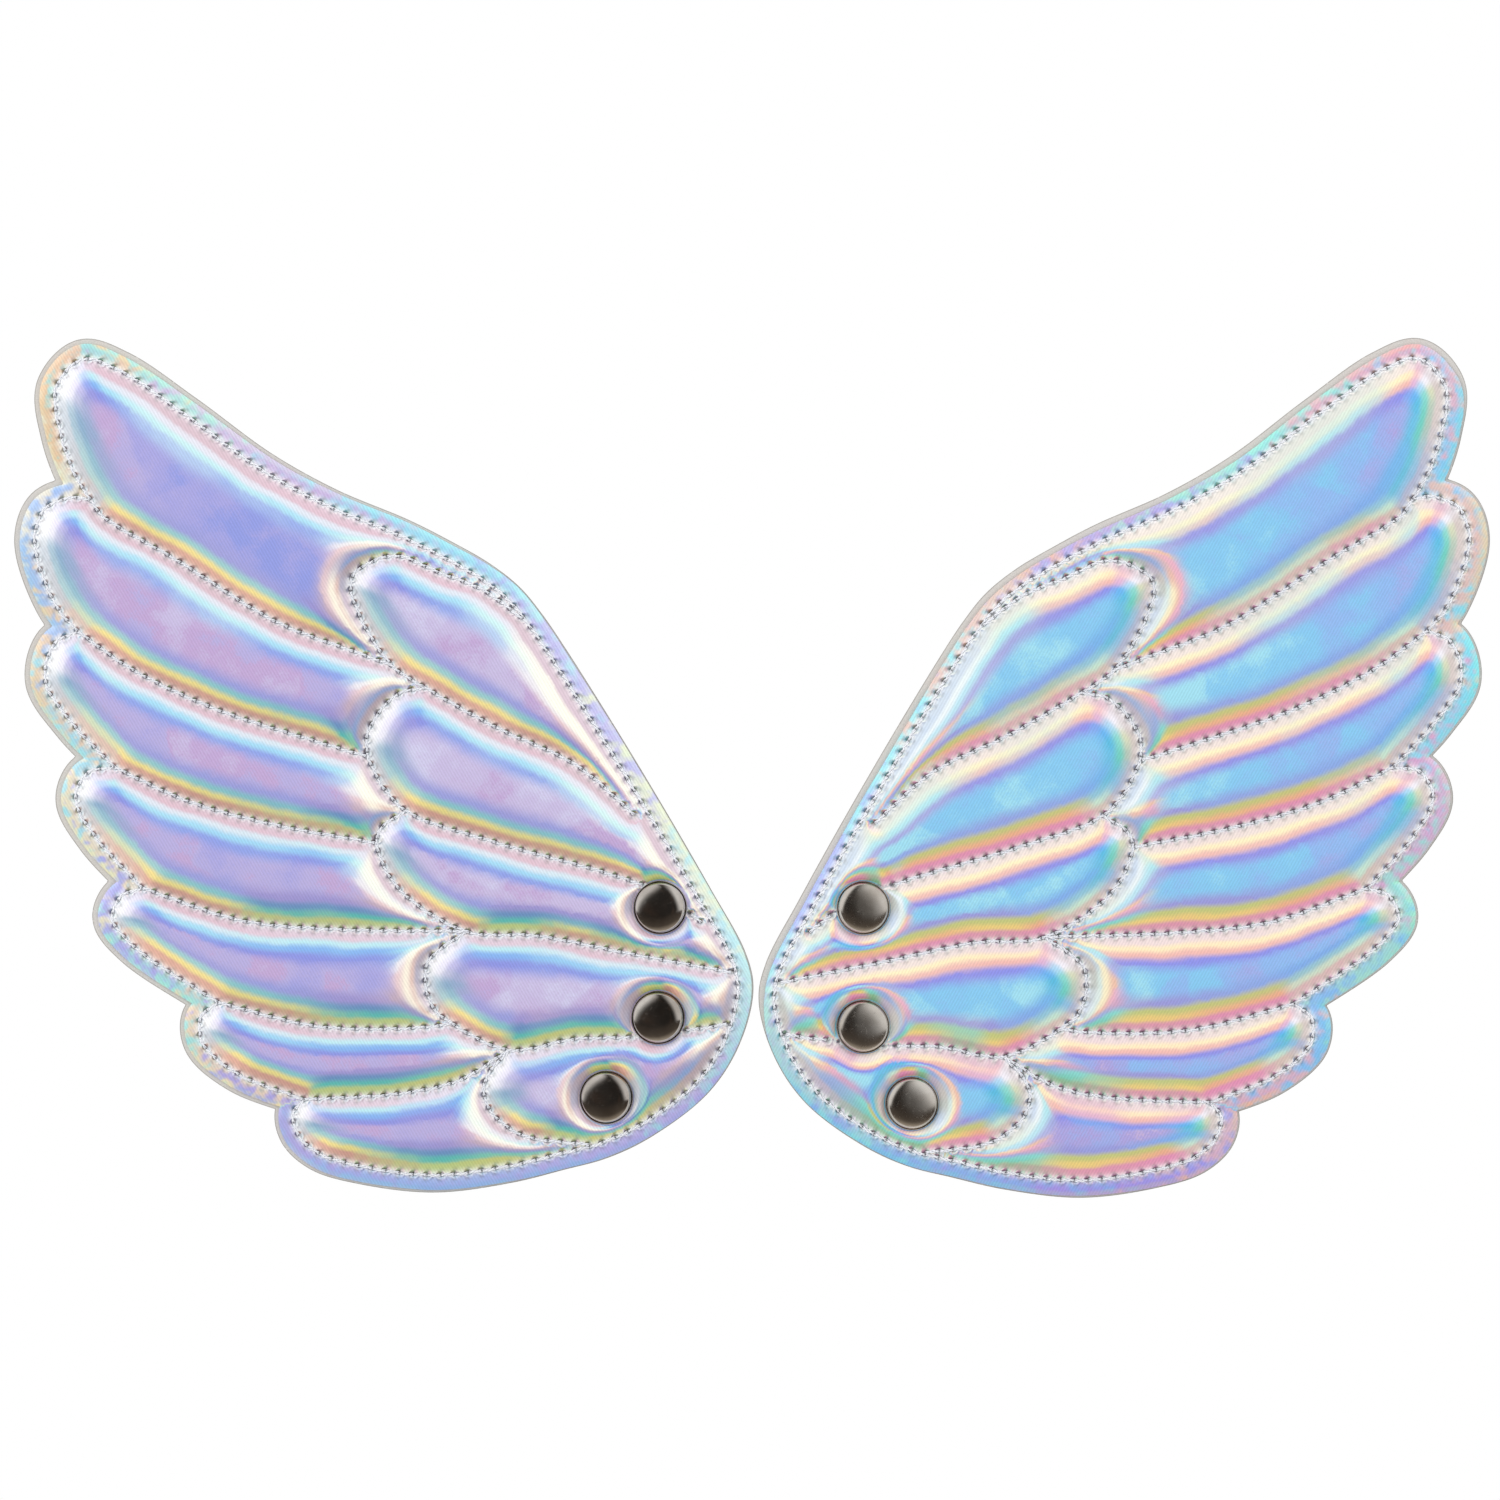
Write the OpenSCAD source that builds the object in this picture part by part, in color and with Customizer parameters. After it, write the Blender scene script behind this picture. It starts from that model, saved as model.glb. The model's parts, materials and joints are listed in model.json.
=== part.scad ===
// Pair of small quilted fairy wings that snap onto a costume, upright as worn.
// +X is to the viewer's right, +Z is up and the decorated front faces -Y.
// y = 0 is the garment plane, where the six snap sockets end, and levels count
// forward from it. z = 0 is the height of the left wing's middle snap.

/* [Layers] */
// Thickness of the back cover
back_t = 0.8; // [0.5:0.1:1.2]
// Thickness of the stay board that keeps a wing flat
board_t = 0.6; // [0.4:0.1:1]
// Thickness of the foam padding
foam_t = 3.5; // [2.5:0.5:5]
// Thickness of the foam where a snap squeezes it
foam_pressed_t = 1; // [0.8:0.1:1.5]
// Thickness of the front cover
cover_t = 0.7; // [0.5:0.1:0.9]

/* [Edges] */
// Margin outside the edge seam at the root
margin_root = 3; // [2.5:0.1:4]
// Margin outside the edge seam at the feather tips
margin_tip = 4.2; // [3:0.1:5]
// How far the back cover shows outside the front cover
back_proud = 0.6; // [0.2:0.1:1]

/* [Stitching] */
// Width of a laid thread
thread_w = 0.5; // [0.3:0.1:0.8]
// Thickness of a laid thread
thread_t = 0.25; // [0.15:0.05:0.3]
// Width of the quilted valley that a seam pulls down
valley_w = 2.4; // [1.6:0.2:3]
// Depth of the quilted valley
valley_d = 0.4; // [0.3:0.05:0.45]

/* [Snaps] */
// Diameter of a snap cap
cap_d = 12.5; // [12:0.1:13]
// Height of a snap cap
cap_h = 2.4; // [2.2:0.1:3]
// Diameter of a snap socket
socket_d = 11.5; // [11:0.1:12]
// Height of a snap socket
socket_h = 3.2; // [3.2:0.1:4]
// Diameter of the opening that takes the garment's stud
stud_d = 5.8; // [5.6:0.1:6]
// Diameter of the post that joins a cap to its socket
post_d = 3.4; // [3:0.1:3.6]

/* [Flexing] */
// Where the flex line crosses z = 0
flex_x = -41.5; // [-43:0.5:-40]
// Lean of the flex line towards the middle, in degrees
flex_lean = 13; // [11:1:15]
// How far the blade of a wing flexes forward, in degrees
flex_forward = 60; // [20:5:60]
// How far it flexes back, in degrees
flex_back = 30; // [10:5:45]

/* [Right wing] */
// Extra turn of the right wing in its plane, in degrees
right_turn = 1; // [0:0.5:2]
// How far the right wing sits out from a true mirror image
right_out = 2.5; // [2:0.5:5]
// How far the right wing sits below a true mirror image
right_down = 2.5; // [0:0.5:5]

/* [Hidden] */
LEFT = 0;
RIGHT = 1;
SIDES = ["left", "right"];
HALVES = ["root", "blade"];
PLACES = ["upper", "middle", "lower"];
LAYERS = ["back_cover", "stay_board", "foam_padding", "front_cover", "edge_thread", "quilting_thread"];
SNAP_PARTS = ["snap_cap", "snap_post", "snap_socket", "socket_spring"];

// Levels, forward from the garment plane
back_level = socket_h;
board_level = back_level + back_t;
foam_level = board_level + board_t;
top_level = foam_level + foam_t + cover_t;
seat_level = foam_level + foam_pressed_t + cover_t;
flex_level = (back_level + top_level) / 2;

// Small clearances and details
fit_gap = 0.1;
half_gap = 0.3;
clip = 0.5;
curve_steps = 3;
flange_t = 0.45;
cap_rim = 0.85;
cap_shell = 0.4;
floor_t = 0.5;
flare_r = 2.4;
dish_r = cap_d / 2 + 0.35;
dish_run = 1.3;
groove_low = 0.6;
groove_high = 1.5;
spring_r = 0.35;
spring_angle = 320;

// Snap centres on each wing, [x, z], upper to lower. Both wings are drawn as a left wing.
snaps = [
    [[-21, 25.5], [-21.5, 0], [-33.5, -18.5]],
    [[-24, 27.5], [-23.5, 0], [-34.5, -18]]];

// The seams of a left wing, as the few points that each smooth curve passes through, [x, z].
// The edge seam runs anticlockwise, one curve to a feather tip, between the notches.
notches = [[-103.5, -19], [-153, 120], [-156, 89.5], [-147.5, 58], [-141, 30], [-123.5, 3.5]];
root_and_tip = [
    notches[0], [-106, -22], [-105, -27], [-100, -31.5], [-90, -34.5], [-73.5, -36.5], [-56.5, -34.5],
    [-44, -31.5], [-34.5, -29], [-25, -24.5], [-12.5, -15], [-6, -5], [-3, 6.5], [-4.5, 13.5],
    [-12.5, 28], [-23, 46], [-35.5, 66.5], [-47, 84.5], [-51.5, 91], [-56.5, 97], [-63, 102],
    [-71, 106.5], [-81, 111.5], [-98, 118.5], [-113.5, 127], [-131.5, 140], [-146.5, 150],
    [-155, 152.5], [-161, 146], [-160, 135.5], [-156.5, 125.5], notches[1]];
edge_seam = [
    root_and_tip,
    [notches[1], [-157, 120.5], [-163.5, 118], [-166, 110.5], [-161, 95.5], notches[2]],
    [notches[2], [-161.5, 86.5], [-163.5, 78], [-157.5, 68.5], notches[3]],
    [notches[3], [-154, 56.5], [-156.5, 50.5], [-152, 42], notches[4]],
    [notches[4], [-146, 28], [-148, 23], [-143, 16.5], notches[5]],
    [notches[5], [-127.5, 0], [-127, -6], [-119, -13], notches[0]]];

// The six seams between the long outer feathers
outer_seams = [
    [notches[1], [-150.5, 116.5], [-133, 106], [-109.5, 91.5], [-91, 84.5], [-83, 81.5]],
    [notches[2], [-143, 80.5], [-124, 71.5], [-104, 65], [-89, 60.5]],
    [notches[3], [-130, 50], [-109.5, 44.5], [-87, 40.5]],
    [notches[4], [-118, 22.5], [-97.5, 20.5], [-66, 20]],
    [notches[5], [-100.5, -2], [-79.5, -2.5], [-69, -1.5]],
    [notches[0], [-80.5, -17.5], [-67.5, -14.5], [-56, -7.5]]];

// The five short inner feathers: each seam rounds a tip and runs on to the root
inner_seams = [
    [[-53, 92.5], [-62, 99], [-72, 103], [-83, 107], [-92.5, 102], [-91, 94], [-83, 81.5],
     [-75.5, 76.5], [-58.5, 67], [-40.5, 58.5], [-27, 47]],
    [[-75.5, 76.5], [-82.5, 74.5], [-89, 65], [-87, 56.5], [-80, 48], [-60.5, 41], [-33.5, 33.5],
     [-21, 29], [-11.5, 22]],
    [[-80, 48], [-86.5, 42.5], [-82.5, 31], [-66, 20], [-50, 19], [-26.5, 14.5], [-4.5, 10.5]],
    [[-66, 20], [-75, 12.5], [-74, 3], [-69, -1.5], [-56, -7.5], [-41, -5], [-28, -4.5],
     [-11.5, -2.5], [-5.5, -1.5]],
    [[-56, -7.5], [-61.5, -14.5], [-61, -20.5], [-53.5, -27], [-37.5, -29.5]]];

// A smooth curve through points: cubic spans whose speed follows the root of the chord
function root_chord(a, b) = sqrt(norm(b - a));
function velocity(a, b, c) =
    let (before = root_chord(a, b), after = root_chord(b, c))
    (b - a) / before - (c - a) / (before + after) + (c - b) / after;
function point(p, i) =
    i < 0 ? 2 * p[0] - p[1] : i >= len(p) ? 2 * p[len(p) - 1] - p[len(p) - 2] : p[i];
function on_span(p, i, t) =
    let (span = root_chord(p[i], p[i + 1]))
    let (leave = span * velocity(point(p, i - 1), p[i], p[i + 1]))
    let (arrive = span * velocity(p[i], p[i + 1], point(p, i + 2)))
    (2 * t ^ 3 - 3 * t ^ 2 + 1) * p[i] + (t ^ 3 - 2 * t ^ 2 + t) * leave
    + (3 * t ^ 2 - 2 * t ^ 3) * p[i + 1] + (t ^ 3 - t ^ 2) * arrive;
function curve(p) = concat(
    [for (i = [0 : len(p) - 2]) for (k = [0 : curve_steps - 1]) on_span(p, i, k / curve_steps)],
    [p[len(p) - 1]]);

// The same curve moved sideways, to its right, by a width or by the cover's margin plus a width
function right_of(q, i) =
    let (d = q[min(i + 1, len(q) - 1)] - q[max(i - 1, 0)])
    [d.y, -d.x] / norm(d);
function beside(q, w) = [for (i = [0 : len(q) - 1]) q[i] + w * right_of(q, i)];
function margin(p) =
    margin_root + (margin_tip - margin_root) * (p.x - root_x) / (notches[2].x - root_x);
function outside(q, w) = [for (i = [0 : len(q) - 1]) q[i] + (margin(q[i]) + w) * right_of(q, i)];
function reversed(q) = [for (i = [len(q) - 1 : -1 : 0]) q[i]];

// Where two bent lines cross: [the span of the first, the span of the second, the point]
function side_of(a, b) = a.x * b.y - a.y * b.x;
function crossing(a, b) = [
    for (i = [0 : len(a) - 2]) for (j = [0 : len(b) - 2])
        let (u = a[i + 1] - a[i], v = b[j + 1] - b[j], w = b[j] - a[i], d = side_of(u, v))
            if (d != 0) let (s = side_of(w, v) / d, t = side_of(w, u) / d)
                if (s >= 0 && s < 1 && t >= 0 && t < 1) [i, j, a[i] + s * u]][0];

// The cut edge follows each seam curve at its margin, from one notch to the next
function cut_outline(proud) =
    let (n = len(edge_curves))
    let (rims = [for (q = edge_curves) outside(q, proud)])
    let (cuts = [for (i = [0 : n - 1]) crossing(rims[i], rims[(i + 1) % n])])
    [for (i = [0 : n - 1]) let (before = cuts[(i + n - 1) % n], after = cuts[i])
        each concat([for (k = [before[1] + 1 : after[0]]) rims[i][k]], [after[2]])];

root_x = -3;
edge_curves = [for (p = edge_seam) curve(p)];
quilt_curves = [for (p = concat(outer_seams, inner_seams)) curve(p)];

// Flat outlines of a left wing
module sewn_area(inset = 0) {
    polygon([for (q = edge_curves) for (p = beside(q, -inset)) p]);
}

module cut_area(proud = 0) {
    polygon(cut_outline(proud));
}

module ribbons(curves, w) {
    for (q = curves) polygon(concat(beside(q, w / 2), reversed(beside(q, -w / 2))));
}

module snap_circles(side, r) {
    for (s = snaps[side]) translate(s) circle(r = r, $fn = 48);
}

// A flat outline raised to a sheet, from one level forward
module sheet(level, t) {
    translate([0, -level, 0]) rotate([90, 0, 0]) linear_extrude(t) children();
}

// A round profile, [radius, level], turned about a snap's own axis
module turned(level = 0, angle = 360) {
    translate([0, -level, 0]) rotate([90, 0, 0]) rotate_extrude(angle = angle, $fn = 64) children();
}

module at_snaps(side) {
    for (s = snaps[side]) translate([s.x, 0, s.y]) children();
}

// Everything is drawn as a left wing and then placed
module placed(side) {
    if (side == LEFT) children();
    if (side == RIGHT)
        translate([right_out, 0, -right_down]) rotate([0, -right_turn, 0]) mirror([1, 0, 0]) children();
}

// The half of a left wing on one side of the flex line, with room to flex both ways
module half_space(half) {
    away = half == "root" ? 1 : -1;
    far = 260;
    low = -5;
    high = top_level + 5;
    back_gap = half_gap + (flex_level - low) * tan(flex_back / 2);
    front_gap = half_gap + (high - flex_level) * tan(flex_forward / 2);
    translate([flex_x, 0, 0]) rotate([0, flex_lean, 0]) linear_extrude(2 * far, center = true)
        polygon([
            [away * back_gap, -low], [away * half_gap, -flex_level], [away * front_gap, -high],
            [away * far, -high], [away * far, -low]]);
}

module half_of(side, half) {
    placed(side) intersection() {
        children();
        half_space(half);
    }
}

module post_holes(side) {
    at_snaps(side) rotate([90, 0, 0]) cylinder(h = top_level, d = post_d + 2 * fit_gap, $fn = 48);
}

// The round dish that a cap presses into the padding, grown by a skin
module dishes(side, skin) {
    run_up = top_level - seat_level;
    at_snaps(side) translate([0, -(seat_level - skin), 0]) rotate([90, 0, 0])
        cylinder(h = 2 * run_up, r1 = dish_r + skin, r2 = dish_r + skin + 2 * dish_run, $fn = 64);
}

module back_cover(side, half) {
    color("#c8c5c1") half_of(side, half) difference() {
        sheet(back_level, back_t) cut_area(back_proud);
        post_holes(side);
    }
}

module stay_board(side, half) {
    color("#d9d6c8") half_of(side, half) difference() {
        sheet(board_level, board_t) sewn_area(cover_t);
        post_holes(side);
    }
}

module padding(side) {
    difference() {
        sheet(foam_level, foam_t) sewn_area(cover_t);
        dishes(side, cover_t);
    }
}

module foam_padding(side, half) {
    color("#f3edda") half_of(side, half) difference() {
        padding(side);
        post_holes(side);
    }
}

module front_cover(side, half) {
    color("#b7b6e4") half_of(side, half) difference() {
        union() {
            sheet(board_level, cover_t) cut_area();
            sheet(board_level, top_level - board_level) sewn_area();
        }
        sheet(board_level, board_t) sewn_area(cover_t);
        padding(side);
        dishes(side, 0);
        sheet(top_level - valley_d, 2 * valley_d) intersection() {
            ribbons(quilt_curves, valley_w);
            sewn_area(cover_t + clip);
        }
        post_holes(side);
    }
}

module edge_thread(side, half) {
    color("#f2f3f5") half_of(side, half) {
        sheet(board_level + cover_t, thread_t) difference() {
            ribbons(edge_curves, 2 * thread_w);
            sewn_area();
        }
        sheet(back_level - thread_t, thread_t) ribbons(edge_curves, thread_w);
    }
}

module quilting_thread(side, half) {
    color("#e9ebee") half_of(side, half) {
        sheet(top_level - valley_d, thread_t) quilt_lines(side, dish_r + dish_run + clip);
        sheet(back_level - thread_t, thread_t) quilt_lines(side, socket_d / 2 + clip);
    }
}

module quilt_lines(side, clear_r) {
    difference() {
        intersection() {
            ribbons(quilt_curves, thread_w);
            sewn_area(cover_t + clip);
        }
        snap_circles(side, clear_r);
    }
}

module at_snap(side, place) {
    s = snaps[side][place];
    placed(side) translate([s.x, 0, s.y]) children();
}

// A domed cap, crimped over the flange of its post
module snap_cap(side, place) {
    r = cap_d / 2;
    lip = 0.25;
    brow = flange_t + lip;
    rise = cap_h - brow;
    inner_r = r - cap_rim - cap_shell;
    inner_rise = rise - cap_shell;
    dome = [for (a = [0 : 7.5 : 90]) [r * cos(a), brow + rise * sin(a)]];
    hollow = [for (a = [90 : -15 : 15]) [inner_r * cos(a), brow + inner_rise * sin(a)]];
    color("#3b3733") at_snap(side, place) turned(seat_level)
        polygon(concat(
            [[r - cap_rim, 0], [r - lip, 0], [r, lip]], dome, hollow,
            [[inner_r, flange_t], [r - cap_rim, flange_t]]));
}

// A hollow rivet: its flange fills the cap, its end is flared inside the socket
module snap_post(side, place) {
    r = post_d / 2;
    wall = 0.6;
    flare_level = back_level - floor_t;
    end_level = flare_level - flange_t;
    top = seat_level + flange_t;
    color("#b9b4a6") at_snap(side, place) turned()
        polygon([
            [r - wall, end_level], [flare_r, end_level], [flare_r, flare_level],
            [r, flare_level], [r, seat_level], [cap_d / 2 - cap_rim, seat_level],
            [cap_d / 2 - cap_rim, top], [0, top], [0, seat_level], [r - wall, seat_level]]);
}

// The female half, open to the back, with a groove for its spring
module snap_socket(side, place) {
    r = socket_d / 2;
    bore = stud_d / 2;
    hole = post_d / 2 + fit_gap;
    floor_level = back_level - 2 * floor_t;
    lip_level = back_level - 0.7;
    chamfer = 0.5;
    draft = 0.3;
    groove_r = bore + 1;
    color("#8e8b85") at_snap(side, place) turned()
        polygon([
            [hole, back_level], [r, back_level], [r, lip_level], [r - chamfer, lip_level - draft],
            [r - chamfer - draft, chamfer], [r - 2 * chamfer - draft, 0], [bore, 0],
            [bore, groove_low], [groove_r, groove_low], [groove_r, groove_high], [bore, groove_high],
            [bore, floor_level], [flare_r + fit_gap, floor_level],
            [flare_r + fit_gap, back_level - floor_t], [hole, back_level - floor_t]]);
}

// The split ring that grips the stud
module socket_spring(side, place) {
    color("#c9cacb") at_snap(side, place) turned((groove_low + groove_high) / 2, spring_angle)
        translate([stud_d / 2 + fit_gap + spring_r, 0]) circle(r = spring_r, $fn = 24);
}

module layer_part(side, layer, half) {
    if (layer == "back_cover") back_cover(side, half);
    if (layer == "stay_board") stay_board(side, half);
    if (layer == "foam_padding") foam_padding(side, half);
    if (layer == "front_cover") front_cover(side, half);
    if (layer == "edge_thread") edge_thread(side, half);
    if (layer == "quilting_thread") quilting_thread(side, half);
}

module snap_part(side, part, place) {
    if (part == "snap_cap") snap_cap(side, place);
    if (part == "snap_post") snap_post(side, place);
    if (part == "snap_socket") snap_socket(side, place);
    if (part == "socket_spring") socket_spring(side, place);
}

for (side = [LEFT, RIGHT]) for (layer = LAYERS) for (half = HALVES)
    layer_part(side, layer, half);
for (side = [LEFT, RIGHT]) for (part = SNAP_PARTS) for (place = [0 : 2])
    snap_part(side, part, place);
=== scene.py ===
import json
import math

import bpy
import numpy as np
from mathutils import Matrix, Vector, geometry, kdtree


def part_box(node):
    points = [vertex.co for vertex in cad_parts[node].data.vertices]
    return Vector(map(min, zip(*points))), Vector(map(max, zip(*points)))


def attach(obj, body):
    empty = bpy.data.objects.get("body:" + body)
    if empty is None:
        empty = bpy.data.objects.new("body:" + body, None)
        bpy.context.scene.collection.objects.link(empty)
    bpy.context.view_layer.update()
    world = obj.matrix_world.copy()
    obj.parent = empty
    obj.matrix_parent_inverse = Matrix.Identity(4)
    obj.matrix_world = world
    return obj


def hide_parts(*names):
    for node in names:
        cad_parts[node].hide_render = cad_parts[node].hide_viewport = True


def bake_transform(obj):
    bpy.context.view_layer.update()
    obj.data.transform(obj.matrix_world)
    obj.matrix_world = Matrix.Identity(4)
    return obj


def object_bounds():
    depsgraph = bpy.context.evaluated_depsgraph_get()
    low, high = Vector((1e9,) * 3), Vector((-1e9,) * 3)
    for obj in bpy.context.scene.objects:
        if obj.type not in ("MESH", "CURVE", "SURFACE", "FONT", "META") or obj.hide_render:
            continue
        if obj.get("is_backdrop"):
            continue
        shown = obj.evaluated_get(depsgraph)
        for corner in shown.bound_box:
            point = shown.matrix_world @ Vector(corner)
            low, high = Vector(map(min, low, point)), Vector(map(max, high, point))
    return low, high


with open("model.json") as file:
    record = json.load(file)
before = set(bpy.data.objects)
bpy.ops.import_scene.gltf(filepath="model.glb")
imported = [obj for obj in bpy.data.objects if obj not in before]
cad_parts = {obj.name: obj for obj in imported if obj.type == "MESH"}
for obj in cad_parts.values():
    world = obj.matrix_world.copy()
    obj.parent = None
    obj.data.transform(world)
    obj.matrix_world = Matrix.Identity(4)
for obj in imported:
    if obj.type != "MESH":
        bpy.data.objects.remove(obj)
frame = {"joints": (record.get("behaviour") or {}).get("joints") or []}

# A pair of quilted fairy wings. Everything soft is modelled flat, as a left wing, in millimetres:
# u to the right, v up, and a level that counts forward from the garment plane. placed() puts it in
# the row frame.
rng = np.random.default_rng(7)
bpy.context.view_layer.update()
MM = 0.001
TURN, OUT, DOWN = math.radians(-1.0), 2.5, 2.5      # how the right wing differs from a mirror image
PITCH, PER_STITCH = 3.2, 8                          # stitch length, and seam points to a stitch
MARGIN_ROOT, MARGIN_GAIN, ROOT_U = 3, 1.2, -3       # the seam margin, and how it widens to the tips
CUT_STEP = 0.6                                      # between the points of a cut edge
RIVET_HOLE = 1.9                                    # radius of a post's hole in the soft layers
EDGE_FLOOR, QUILT_FLOOR = 5.15, 5.7                 # levels at which the seams hold the film
EDGE_THREAD_LEVEL, QUILT_THREAD_LEVEL = 5.25, 5.85
MARGIN_LEVEL = 5.45                                 # where the film lies outside the edge seam


def placed(side, u, v, level):
    """Left wing millimetres to metres in the row frame."""
    if side == "right":
        u, v = (-u * math.cos(TURN) + v * math.sin(TURN) + OUT,
                u * math.sin(TURN) + v * math.cos(TURN) - DOWN)
    return np.stack(np.broadcast_arrays(u, -level, v), -1) * MM


def unplaced(side, x, z):
    """The row frame in metres back to a left wing's (u, v)."""
    if side == "left":
        return x / MM, z / MM
    x, z = x / MM - OUT, z / MM + DOWN
    return -(x * math.cos(TURN) - z * math.sin(TURN)), x * math.sin(TURN) + z * math.cos(TURN)


# ---- what the CAD part says

def level_range(node):
    lo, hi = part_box(node)
    return -hi.y / MM, -lo.y / MM


BACK, BACK_TOP = level_range("left_back_cover_blade")
BOARD, BOARD_TOP = level_range("left_stay_board_blade")
TOP = level_range("left_front_cover_blade")[1]
SEAT, CAP_TOP = level_range("left_snap_cap_upper")
PLACES = ("upper", "middle", "lower")
SNAPS = {}
for side in ("left", "right"):
    for place in PLACES:
        lo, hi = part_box(f"{side}_snap_cap_{place}")
        SNAPS[side, place] = unplaced(side, (lo.x + hi.x) / 2, (lo.z + hi.z) / 2)
lo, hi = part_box("left_snap_cap_upper")
CAP_R = (hi.x - lo.x) / 2 / MM
lo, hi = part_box("left_snap_socket_upper")
SOCKET_R = (hi.x - lo.x) / 2 / MM

# ---- the seams of a left wing

NOTCHES = [(-103.5, -19), (-153, 120), (-156, 89.5), (-147.5, 58), (-141, 30), (-123.5, 3.5)]
EDGE_SEAM = [
    [NOTCHES[0], (-106, -22), (-105, -27), (-100, -31.5), (-90, -34.5), (-73.5, -36.5),
     (-56.5, -34.5), (-44, -31.5), (-34.5, -29), (-25, -24.5), (-12.5, -15), (-6, -5), (-3, 6.5),
     (-4.5, 13.5), (-12.5, 28), (-23, 46), (-35.5, 66.5), (-47, 84.5), (-51.5, 91), (-56.5, 97),
     (-63, 102), (-71, 106.5), (-81, 111.5), (-98, 118.5), (-113.5, 127), (-131.5, 140),
     (-146.5, 150), (-155, 152.5), (-161, 146), (-160, 135.5), (-156.5, 125.5), NOTCHES[1]],
    [NOTCHES[1], (-157, 120.5), (-163.5, 118), (-166, 110.5), (-161, 95.5), NOTCHES[2]],
    [NOTCHES[2], (-161.5, 86.5), (-163.5, 78), (-157.5, 68.5), NOTCHES[3]],
    [NOTCHES[3], (-154, 56.5), (-156.5, 50.5), (-152, 42), NOTCHES[4]],
    [NOTCHES[4], (-146, 28), (-148, 23), (-143, 16.5), NOTCHES[5]],
    [NOTCHES[5], (-127.5, 0), (-127, -6), (-119, -13), NOTCHES[0]]]
QUILT_SEAMS = [
    [NOTCHES[1], (-150.5, 116.5), (-133, 106), (-109.5, 91.5), (-91, 84.5), (-83, 81.5)],
    [NOTCHES[2], (-143, 80.5), (-124, 71.5), (-104, 65), (-89, 60.5)],
    [NOTCHES[3], (-130, 50), (-109.5, 44.5), (-87, 40.5)],
    [NOTCHES[4], (-118, 22.5), (-97.5, 20.5), (-66, 20)],
    [NOTCHES[5], (-100.5, -2), (-79.5, -2.5), (-69, -1.5)],
    [NOTCHES[0], (-80.5, -17.5), (-67.5, -14.5), (-56, -7.5)],
    [(-53, 92.5), (-62, 99), (-72, 103), (-83, 107), (-92.5, 102), (-91, 94), (-83, 81.5),
     (-75.5, 76.5), (-58.5, 67), (-40.5, 58.5), (-27, 47)],
    [(-75.5, 76.5), (-82.5, 74.5), (-89, 65), (-87, 56.5), (-80, 48), (-60.5, 41), (-33.5, 33.5),
     (-21, 29), (-11.5, 22)],
    [(-80, 48), (-86.5, 42.5), (-82.5, 31), (-66, 20), (-50, 19), (-26.5, 14.5), (-4.5, 10.5)],
    [(-66, 20), (-75, 12.5), (-74, 3), (-69, -1.5), (-56, -7.5), (-41, -5), (-28, -4.5),
     (-11.5, -2.5), (-5.5, -1.5)],
    [(-56, -7.5), (-61.5, -14.5), (-61, -20.5), (-53.5, -27), (-37.5, -29.5)]]


def curve(points, step=0.2):
    """The CAD part's smooth curve through points: cubic spans timed by the root of the chord."""
    p = np.array(points, float)
    p = np.vstack([2 * p[0] - p[1], p, 2 * p[-1] - p[-2]])
    found = []
    for a, b, c, d in zip(p, p[1:], p[2:], p[3:]):
        before, span, after = (math.sqrt(np.linalg.norm(x)) for x in (b - a, c - b, d - c))
        leave = span * ((b - a) / before - (c - a) / (before + span) + (c - b) / span)
        arrive = span * ((c - b) / span - (d - b) / (span + after) + (d - c) / after)
        n = max(2, math.ceil(np.linalg.norm(c - b) / step))
        t = (np.arange(n) / n)[:, None]
        found.append((2 * t**3 - 3 * t**2 + 1) * b + (t**3 - 2 * t**2 + t) * leave
                     + (3 * t**2 - 2 * t**3) * c + (t**3 - t**2) * arrive)
    return np.vstack(found + [p[-2:-1]])


def spans(line):
    """The length of each span of a line."""
    return np.linalg.norm(np.diff(line, axis=0), axis=1)


def spaced(line, n):
    """n equal steps along a line."""
    s = np.r_[0, np.cumsum(spans(line))]
    t = np.linspace(0, s[-1], n + 1)
    return np.stack([np.interp(t, s, line[:, 0]), np.interp(t, s, line[:, 1])], 1)


class Seam:
    """One line of stitches: evenly spaced points, with a needle hole at every eighth."""
    def __init__(self, points, edge):
        line = curve(points)
        self.count = round(spans(line).sum() / PITCH)
        self.points = spaced(line, PER_STITCH * self.count)
        self.edge = edge
        t = np.gradient(self.points, axis=0)
        self.tangent = t / np.linalg.norm(t, axis=1)[:, None]
        self.right = np.stack([self.tangent[:, 1], -self.tangent[:, 0]], 1)


SEAMS = [Seam(p, True) for p in EDGE_SEAM] + [Seam(p, False) for p in QUILT_SEAMS]
EDGES = SEAMS[:len(EDGE_SEAM)]
SEWN = np.vstack([s.points[:-1] for s in EDGES])


def last_crossing(a, b):
    """Where line a last crosses line b: a's span, b's span and the point."""
    for i in range(len(a) - 2, 0, -1):
        u, w, v = a[i + 1] - a[i], b[:-1] - a[i], np.diff(b, axis=0)
        d = u[0] * v[:, 1] - u[1] * v[:, 0]
        with np.errstate(divide="ignore", invalid="ignore"):
            on_a = (w[:, 0] * v[:, 1] - w[:, 1] * v[:, 0]) / d
            on_b = (w[:, 0] * u[1] - w[:, 1] * u[0]) / d
        hit = np.flatnonzero((on_a >= 0) & (on_a < 1) & (on_b >= 0) & (on_b < 1))
        if len(hit):
            return i, int(hit[0]), a[i] + on_a[hit[0]] * u


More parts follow.
